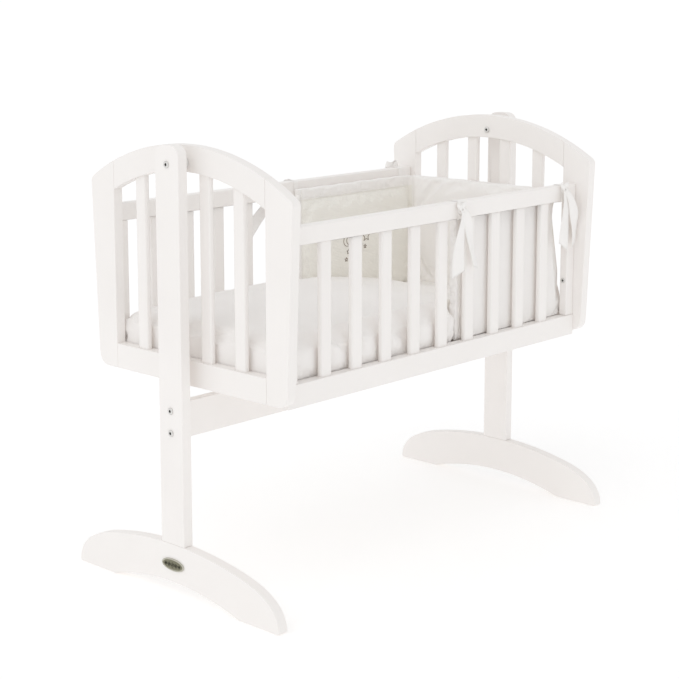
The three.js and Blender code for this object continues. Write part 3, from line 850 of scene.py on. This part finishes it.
# the parts inside this half width stand on the mattress, the others behind the bottom rails
STANDING_HALF_WIDTH = 0.203
MATTRESS_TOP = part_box("mattress")[1].z
CORNER_PULL = 0.017
HEAD_PUFF = 0.010
LOWER_FULLNESS = 0.0030
BUMPER_SETTLE = 0.0022
BUMPER_SIDE_LIMIT = 0.2292
BUMPER_HEAD_LIMIT = 0.4524


def past_corner(points):
    """Distance past the corner's mitre plane, positive on the head part and negative on the side parts."""
    along = points[:, 0] - (HEAD_X - TURN)
    across = np.abs(points[:, 1]) - HEAD_HALF
    return (along - across) / math.sqrt(2)


def bumper_coords(points):
    """Each point's place along the bumper, its offset from the middle line, and the way out in plan."""
    x, y = points[:, 0], points[:, 1]
    side = np.where(y < 0, -1.0, 1.0)
    dx, dy = x - (HEAD_X - TURN), np.abs(y) - HEAD_HALF
    in_corner = (dx > 0) & (dy > 0)
    in_head = ~in_corner & (past_corner(points) > 0)
    in_leg = ~in_corner & ~in_head
    radius = np.hypot(np.maximum(dx, 0), np.maximum(dy, 0))
    angle = np.arctan2(np.maximum(dx, 1e-9), np.maximum(dy, 1e-9))
    past_leg = np.where(in_head, TURN * math.pi / 2 + HEAD_HALF - np.abs(y), TURN * angle)
    from_end = np.where(in_leg, x - LEG_START, LEG_LENGTH + past_leg)
    offset = np.where(in_leg, np.abs(y) - LEG_Y, np.where(in_head, x - HEAD_X, radius - TURN))
    out_x = np.where(in_leg, 0.0, np.where(in_head, 1.0, np.sin(angle)))
    out_y = np.where(in_leg, side, np.where(in_head, 0.0, np.cos(angle) * side))
    return from_end, offset, np.stack([out_x, out_y], 1), side


def past_end(from_end, side):
    """Distance in from the end of the side part that a point belongs to."""
    return from_end - np.where(side < 0, FRONT_END, 0)


def bumper_seams(points):
    """Distance from each point to the corner seams, the end bindings and the inner band seam."""
    from_end, offset, _, side = bumper_coords(points)
    outer = np.where(offset < 0, 0, 1)
    corner = np.abs(past_corner(points)) + outer
    end = np.abs(past_end(from_end, side) - BINDING)
    band = np.abs(points[:, 2] - (BUMPER_HIGH.z - BAND)) + outer + (past_corner(points) > 0)
    return corner, end, band


def held_seams(points):
    """The share of each point that stays put while the bumper swells: its seams, top and foot."""
    corner, end, band = bumper_seams(points)
    seam = np.minimum(np.minimum(corner, end), band)
    stands = np.abs(points[:, 1]) < STANDING_HALF_WIDTH
    base = np.where(stands, MATTRESS_TOP, BUMPER_LOW.z)
    edge = np.minimum(points[:, 2] - base, BUMPER_HIGH.z - points[:, 2])
    return np.where(seam < 0.004, 1.0, np.where(edge < 0.006, 0.8, 0.0))


def near(distance, reach):
    """A soft falloff with distance, 1 on the line and near 0 past twice the reach."""
    return np.exp(-((distance / reach) ** 2))


def gather_seams(points):
    """Draws the skins together at the seams, with small gathers beside them."""
    from_end, offset, outward, _ = bumper_coords(points)
    corner, end, band = bumper_seams(points)
    height = points[:, 2]
    pinch = np.maximum(near(corner, 0.006) * 0.55, near(end, 0.0045) * 0.30)
    pinch = np.maximum(pinch, near(band, 0.004) * 0.35)
    gather = np.exp(-(corner / 0.045)) + 0.5 * np.exp(-(end / 0.03)) + 0.30 * np.exp(-(band / 0.02))
    waves = np.sin(height * 230 + from_end * 60) + 0.7 * np.sin(height * 140 - from_end * 130 + 1.3)
    up_waves = np.sin(from_end * 210 + height * 40) + 0.6 * np.sin(from_end * 370 + 2.1)
    ripple = 0.0006 * gather * waves + 0.0006 * np.exp(-(band / 0.028)) * up_waves
    points[:, :2] += outward * (np.sign(offset) * ripple - offset * pinch)[:, None]
    points[:, 2] += np.where(points[:, 2] > 0.70, 0.0006 * np.sin(from_end * 95), 0)


def fill_bumper(points, place):
    """The corners' tops are drawn in, the head part puffs inwards, and the lower part is full."""
    from_end, offset, outward, side = place
    top_share = np.clip((points[:, 2] - 0.55) / 0.15, 0, 1)
    inner_skin = offset < 0
    pull = CORNER_PULL * top_share * near(from_end - CORNER_AT, 0.05) * np.where(inner_skin, 0.5, 1)
    points[:, 0] -= pull * 0.9
    points[:, 1] -= side * pull * 0.45
    head_share = np.clip(past_corner(points) / 0.014, 0, 1)
    points[:, 0] -= np.where(inner_skin, HEAD_PUFF * head_share**2 * (3 - 2 * head_share), 0)
    points[:, :2] += outward * np.where(inner_skin, 0, LOWER_FULLNESS * (1 - top_share))[:, None]


def settle_bumper(obj, points, stands):
    """Sits the padding on the mattress, and at the sides down behind the bottom rails."""
    settle = np.where(stands, MATTRESS_TOP - BUMPER_SETTLE, BUMPER_LOW.z)
    above = points[:, 2] - settle
    lowest = np.where(stands, above[stands].min(), above[~stands].min())
    points[:, 2] -= lowest * np.clip(1 - above / 0.05, 0, 1)
    resting = stands & (above < 0.016) & (normals_of(obj.data)[:, 2] < -0.5)
    points[:, 2] = np.where(resting, settle, points[:, 2])


def color_panel(obj):
    """The inner panels of the side parts are cream, below the band and past the binding."""
    obj.data.materials.append(BUMPER_CREAM)
    centres = np.array([p.center for p in obj.data.polygons])
    from_end, offset, _, side = bumper_coords(centres)
    past_binding = past_end(from_end, side) > BINDING
    in_panel = past_binding & (past_corner(centres) < 0) & (centres[:, 2] < BUMPER_HIGH.z - BAND)
    cream = in_panel & (offset < 0)
    obj.data.polygons.foreach_set("material_index", cream.astype(np.int32))
    obj.data.update()


def make_bumper():
    made = soft_copy("bumper_pad", "bumper", voxel=0.0045, rounds=5, inset=0.0028)
    points = coords(made.data)
    stands = np.abs(points[:, 1]) < STANDING_HALF_WIDTH
    swell(made, held_seams(points), pressure=4.0, grow=0.045, cap=0.007, bending=0.4)
    points = coords(made.data)
    place = bumper_coords(points)
    gather_seams(points)
    fill_bumper(points, place)
    settle_bumper(made, points, stands)
    from_end, _, _, side = place
    end_skin = np.clip(1 - past_end(from_end, side) / 0.008, 0, 1)
    points[:, 0] -= BUMPER_SETTLE * end_skin
    points[:, 1] = np.clip(points[:, 1], -BUMPER_SIDE_LIMIT, BUMPER_SIDE_LIMIT)
    points[:, 0] = np.minimum(points[:, 0], BUMPER_HEAD_LIMIT)
    set_coords(made.data, points)
    finish_soft(made, BUMPER_WHITE, "bumper")
    color_panel(made)
    return made


bumper = make_bumper()


bumper_tree = BVHTree.FromObject(bumper, bpy.context.evaluated_depsgraph_get())


def on_bumper(origin, direction, lift):
    """The first point of the bumper's surface from origin, lifted off it."""
    hit, normal, _, _ = bumper_tree.ray_cast(Vector(origin), Vector(direction), 0.2)
    if hit is None:
        return None
    return hit + normal * lift


def middle_line(from_end, side, offset):
    """A point in plan at this place along the bumper, and the outward direction there."""
    if from_end <= LEG_LENGTH:
        return Vector((LEG_START + from_end, side * (LEG_Y + offset), 0)), Vector((0, side, 0))
    angle = (from_end - LEG_LENGTH) / TURN
    if angle < math.pi / 2:
        out = Vector((math.sin(angle), side * math.cos(angle), 0))
        return Vector((HEAD_X - TURN, side * HEAD_HALF, 0)) + out * (TURN + offset), out
    rest = from_end - LEG_LENGTH - TURN * math.pi / 2
    return Vector((HEAD_X + offset, side * (HEAD_HALF - rest), 0)), Vector((1, 0, 0))


def seam_cord(name, places, inner, radius=0.0014):
    """A piping cord laid on one face of the bumper through (place along, side, height)."""
    path, normals = [], []
    for from_end, side, z in places:
        plan, out = middle_line(from_end, side, -0.05 if inner else 0.05)
        direction = out if inner else -out
        hit = on_bumper((plan.x, plan.y, z), direction, radius * 0.35)
        if hit is not None:
            path.append(hit)
            normals.append(-direction)
    path = relaxed_path(path, 2)
    points, faces = swept(path, normals, round_section(radius))
    return add_mesh(name, points, faces, PIPING, "cradle")


def relaxed_path(path, rounds):
    path = np.array([tuple(p) for p in path])
    for _ in range(rounds):
        path[1:-1] = 0.5 * path[1:-1] + 0.25 * (path[:-2] + path[2:])
    return path


PIPING_END = HEAD_X - 0.026 - LEG_START
BINDING_LOW = 0.470


def bumper_trim(side, label, start):
    """Piping along the band's seam, and the binding's seam on both faces of the end."""
    band_seam = BUMPER_HIGH.z - BAND
    places = [(place, side, band_seam) for place in np.linspace(start + 0.004, PIPING_END, 110)]
    seam_cord(f"bumper_piping_{label}", places, True)
    heights = np.linspace(BINDING_LOW, BUMPER_HIGH.z - 0.010, 60)
    for inner in (True, False):
        name = f"bumper_binding_{label}_{'inner' if inner else 'outer'}"
        seam_cord(name, [(start + BINDING, side, z) for z in heights], inner, 0.0011)


bumper_trim(-1, "front", FRONT_END)
bumper_trim(1, "back", 0)


# ---------- embroidered ornament
def stitched(name, outlines, origin, radius=0.0007):
    """Outlines stitched on the back side part's inner face, around an origin given as x and height."""
    parts = []
    for outline in outlines:
        path = []
        for u, v in outline:
            hit = on_bumper((origin[0] + u, 0.12, origin[1] + v), (0, 1, 0), radius * 0.3)
            if hit is not None:
                path.append(hit)
        if len(path) > 3:
            parts.append(swept(path, (0, -1, 0), round_section(radius, 7)))
    points, faces = joined(parts)
    return add_mesh(name, points, faces, THREAD, "cradle")


def star(size, at, tips=5):
    """A star's outline, with points along its straight sides."""
    steps = np.arange(2 * tips + 1)
    angles = math.pi / 2 + math.pi * steps / tips
    reach = np.where(steps % 2 == 0, size, size * 0.46)
    corners = np.array(at) + np.stack([reach * np.cos(angles), reach * np.sin(angles)], 1)
    share = np.linspace(0, 1, 5, endpoint=False)[:, None]
    sides = [a + (b - a) * share for a, b in zip(corners, corners[1:])]
    return np.vstack([*sides, corners[:1]])


def arc(x, y, radius, first, last, steps):
    angles = np.linspace(first, last, steps)
    return np.stack([x + radius * np.cos(angles), y + radius * np.sin(angles)], 1)


def moon(size, at, opening=0.9):
    """A crescent: most of a circle, closed by an inner arc whose centre is moved sideways by cut."""
    cut = 0.56 * size
    tip_x, tip_y = size * math.cos(opening) - cut, size * math.sin(opening)
    tip_angle = math.atan2(tip_y, tip_x)
    outer = arc(*at, size, opening, 2 * math.pi - opening, 32)
    inner = arc(at[0] + cut, at[1], math.hypot(tip_x, tip_y), -tip_angle, tip_angle - 2 * math.pi, 24)
    return np.vstack([outer, inner])


stitched(
    "bumper_stitching_moon",
    [moon(0.013, (0, 0.012)), star(0.0065, (0.004, -0.014)), star(0.005, (-0.004, -0.032))],
    (0.198, 0.588),
)
stitched(
    "bumper_stitching_star",
    [star(0.013, (0, 0.006)), star(0.005, (-0.004, -0.018))],
    (0.262, 0.598),
)


# ---------- ribbon ties
WRAP_SHARE = 0.45


def strip(path, normals, count=36, widths=(1, 1), cup=0.0008, cut=0.0):
    """A ribbon along a path; cut slants its far end by this length."""
    smooth = resample(path, count)
    normals = resample(normals, count)
    share = np.linspace(0, 1, count)
    widths = np.interp(share, np.linspace(0, 1, len(widths)), widths)
    section = flat_section(RIBBON_WIDTH, RIBBON_THICK, cup=cup)
    points, faces = swept(smooth, normals, section, widths)
    across = np.array(section)[:, 0] / (RIBBON_WIDTH / 2)
    end_share = np.clip((share - 0.7) / 0.3, 0, 1) ** 2
    tangents = np.gradient(smooth, axis=0)
    tangents /= np.linalg.norm(tangents, axis=1)[:, None]
    shift = tangents[:, None] * (cut * end_share[:, None] * across[None])[..., None]
    return points + shift.reshape(-1, 3), faces


def rail_wrap(rail, x, width):
    """A ribbon ring round a top rail."""
    low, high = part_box(rail)
    gap, corner = 0.0009, 0.004
    path = []
    for cy, cz, first in (
        (high.y - corner, high.z - corner, 0),
        (low.y + corner, high.z - corner, math.pi / 2),
        (low.y + corner, low.z + corner, math.pi),
        (high.y - corner, low.z + corner, 1.5 * math.pi),
    ):
        for a in np.linspace(first, first + math.pi / 2, 6):
            path.append((x, cy + (corner + gap) * math.cos(a), cz + (corner + gap) * math.sin(a)))
    path.append(path[0])
    path = np.array(path)
    middle = np.array([x, *centre_of(rail).yz])
    dense = []
    for a, b in zip(path[:-1], path[1:]):
        steps = max(1, int(np.linalg.norm(b - a) / 0.003))
        dense.extend(a + (b - a) * t for t in np.linspace(0, 1, steps, endpoint=False))
    dense = np.array(dense)
    away = dense - middle
    sides = np.zeros_like(dense)
    sides[:, 0] = 1
    out = np.cross(sides, np.roll(dense, -1, 0) - np.roll(dense, 1, 0))
    out *= np.sign((out * away).sum(1))[:, None]
    out /= np.linalg.norm(out, axis=1)[:, None]
    section = flat_section(width, RIBBON_THICK)
    return section_points(dense, sides, out, section), tube_faces(len(dense), len(section), True)


def knot_shape(centre, size, axes):
    """A small overhand knot of rolled ribbon."""
    path, normals = [], []
    for t in np.linspace(0, 2 * math.pi, 61):
        local = (
            math.sin(t) + 1.6 * math.sin(2 * t),
            math.cos(t) - 1.6 * math.cos(2 * t),
            -1.1 * math.sin(3 * t),
        )
        path.append(sum(np.array(axis) * c * s for axis, c, s in zip(axes, local, size)) + np.array(centre))
        normals.append(np.array(axes[2]) + 0.4 * math.sin(2 * t) * np.array(axes[0]))
    return swept(path, normals, flat_section(0.0085, 0.0024, 6, cup=0.0008))


def tie(name, rail, out, x, knot_height, tails, loops=()):
    """A ribbon round a top rail, knotted on its outer face (out is -1 at the front), with hanging tails.

    A tail is how far its end is cut slanted, and then its points from the knot down, each an x, a
    height, a distance off the rail's face, a sideways turn and a share of the full width.
    """
    low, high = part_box(rail)
    face = low.y if out < 0 else high.y
    parts = [rail_wrap(rail, x, RIBBON_WIDTH * WRAP_SHARE)]
    for cut, *tail in tails:
        path = [(at, face + out * off, z) for at, z, off, _, _ in tail]
        normals = [(turn, out, 0.0) for _, _, _, turn, _ in tail]
        parts.append(strip(path, normals, widths=[point[4] for point in tail], cut=cut))
    for reach in loops:
        parts.append(loop_of(x, face, out, knot_height, reach))
    points, faces = joined(parts)
    ribbon = add_mesh(name, points, faces, RIBBON, "cradle")
    knot_at = (x, face + out * 0.0055, knot_height)
    points, faces = knot_shape(knot_at, (0.0044, 0.0038, 0.0028), ((1, 0, 0), (0, 0, 1), (0, out, 0)))
    knot = add_mesh(name + "_knot", points, faces, RIBBON, "cradle")


def loop_of(x, face, out, z, reach):
    """One flattened bow loop: out from the knot along the rail, and back behind itself."""
    along = np.array([reach, 0.0, 0.42 * abs(reach)])
    depth = np.array([0.0, out, 0.0])
    lean = along / np.linalg.norm(along)
    start = np.array([x, face + out * 0.004, z])
    turns = np.linspace(0, 2 * math.pi, 15)
    path = [start + along * (0.5 - 0.5 * math.cos(a)) + depth * 0.005 * math.sin(a) for a in turns]
    normals = [depth * math.sin(a) - lean * math.cos(a) for a in turns]
    return strip(path, normals, widths=(0.22, 0.5, 0.55, 0.5, 0.22))


tie("tie_front_left", "front_top_rail", -1, 0.044, 0.737, [
    (-0.008,
     (0.043, 0.735, 0.005, 0.0, 0.35), (0.042, 0.722, 0.011, 0.3, 0.60), (0.0385, 0.695, 0.010, 0.2, 0.85),
     (0.0335, 0.650, 0.007, -0.2, 1.0), (0.0305, 0.600, 0.008, -0.3, 1.12)),
    (0.007,
     (0.046, 0.735, 0.005, 0.0, 0.35), (0.051, 0.722, 0.012, -0.4, 0.55), (0.060, 0.700, 0.010, -0.3, 0.72),
     (0.073, 0.658, 0.007, 0.3, 0.80), (0.088, 0.608, 0.008, 0.5, 0.86)),
])
tie("tie_front_right", "front_top_rail", -1, 0.402, 0.745, [
    (0.008,
     (0.401, 0.741, 0.005, 0.0, 0.35), (0.397, 0.727, 0.011, 0.3, 0.60), (0.3995, 0.695, 0.011, 0.2, 1.05),
     (0.401, 0.660, 0.008, 0.1, 1.2), (0.397, 0.614, 0.008, -0.2, 1.0)),
    (-0.007,
     (0.405, 0.741, 0.005, 0.0, 0.35), (0.413, 0.720, 0.014, -0.4, 0.55), (0.428, 0.686, 0.013, -0.3, 0.85),
     (0.435, 0.655, 0.010, 0.2, 0.95), (0.437, 0.618, 0.008, 0.4, 0.85)),
])
tie("tie_back_left", "back_top_rail", 1, 0.056, 0.740, [
    (-0.008,
     (0.054, 0.738, 0.005, 0.0, 0.35), (0.030, 0.722, 0.012, 0.4, 0.65), (-0.009, 0.690, 0.010, 0.2, 0.90),
     (-0.042, 0.664, 0.007, 0.3, 1.0), (-0.068, 0.636, 0.007, 0.5, 0.9)),
    (0.007,
     (0.058, 0.738, 0.005, 0.0, 0.35), (0.064, 0.720, 0.012, -0.4, 0.60), (0.070, 0.690, 0.010, -0.2, 0.90),
     (0.078, 0.650, 0.007, 0.3, 1.0), (0.082, 0.602, 0.008, 0.4, 1.0)),
])
tie("tie_back_right", "back_top_rail", 1, 0.411, 0.749, [
    (0.008,
     (0.407, 0.744, 0.005, 0.0, 0.35), (0.396, 0.722, 0.012, 0.4, 0.60), (0.388, 0.690, 0.010, 0.2, 0.90),
     (0.384, 0.655, 0.007, 0.2, 1.0), (0.383, 0.615, 0.008, 0.3, 1.0)),
    (-0.007,
     (0.411, 0.744, 0.005, 0.0, 0.35), (0.416, 0.720, 0.013, -0.4, 0.60), (0.420, 0.688, 0.012, -0.2, 0.90),
     (0.425, 0.652, 0.008, 0.3, 1.0), (0.427, 0.618, 0.008, 0.4, 0.95)),
], loops=(-0.019, 0.019))


# ---------- studio: floor, lights, camera
WORLD_STRENGTH = 0.855
SUN_ENERGY = 0.30
SUN_SOFTNESS = math.radians(50)
SUN_DIRECTION = Vector((0.62, 0.06, -0.78))
CAMERA_PLACE = (-2.5200, -2.3156, 1.1979)
CAMERA_HEADING = 0.7523
CAMERA_PITCH = math.radians(9.54)
CAMERA_LENS = 86.24
CAMERA_SHIFT = -0.13


def add_facing(name, data, direction):
    """A light or camera looking along a direction."""
    made = bpy.data.objects.new(name, data)
    scene.collection.objects.link(made)
    made.rotation_mode = "QUATERNION"
    made.rotation_quaternion = direction.to_track_quat("-Z", "Y")
    return made


def studio_floor():
    """A plain white floor, with a little light of its own so that it stays white."""
    bpy.ops.mesh.primitive_plane_add(size=400, location=(0, 0, -0.0002))
    floor = bpy.context.object
    floor.name = "studio_floor"
    made, tree, shader = new_material(
        "studio_floor",
        (0.95, 0.95, 0.95),
        0.7,
        Specular_IOR_Level=0.2,
        Emission_Color=(1, 1, 1, 1),
        Emission_Strength=0.15,
    )
    patches = noise_of(tree, 0.7, 2.0)
    tint(tree, shader, patches, (0.948, 0.948, 0.948), (0.952, 0.952, 0.952))
    floor.data.materials.append(made)


def studio_light():
    """An even white surround and one very soft key light from the left."""
    world = bpy.data.worlds.new("studio")
    scene.world = world
    world.use_nodes = True
    background = world.node_tree.nodes["Background"]
    background.inputs["Color"].default_value = (1, 1, 1, 1)
    background.inputs["Strength"].default_value = WORLD_STRENGTH
    sun = bpy.data.lights.new("key_light", "SUN")
    sun.energy = SUN_ENERGY
    sun.angle = SUN_SOFTNESS
    add_facing("key_light", sun, SUN_DIRECTION)
    # white cloth inside white bars is lit mostly by light that has bounced many times
    scene.cycles.diffuse_bounces = 16
    scene.cycles.max_bounces = 16
    scene.view_settings.view_transform = "Standard"
    scene.view_settings.look = "None"


def studio_camera():
    camera = bpy.data.cameras.new("camera")
    camera.sensor_width = 36
    camera.lens = CAMERA_LENS
    camera.shift_y = CAMERA_SHIFT
    camera.clip_end = 200
    level = math.cos(CAMERA_PITCH)
    forward = Vector((
        math.cos(CAMERA_HEADING) * level,
        math.sin(CAMERA_HEADING) * level,
        -math.sin(CAMERA_PITCH),
    ))
    made = add_facing("camera", camera, forward)
    made.location = CAMERA_PLACE
    scene.camera = made


studio_floor()
studio_light()
studio_camera()
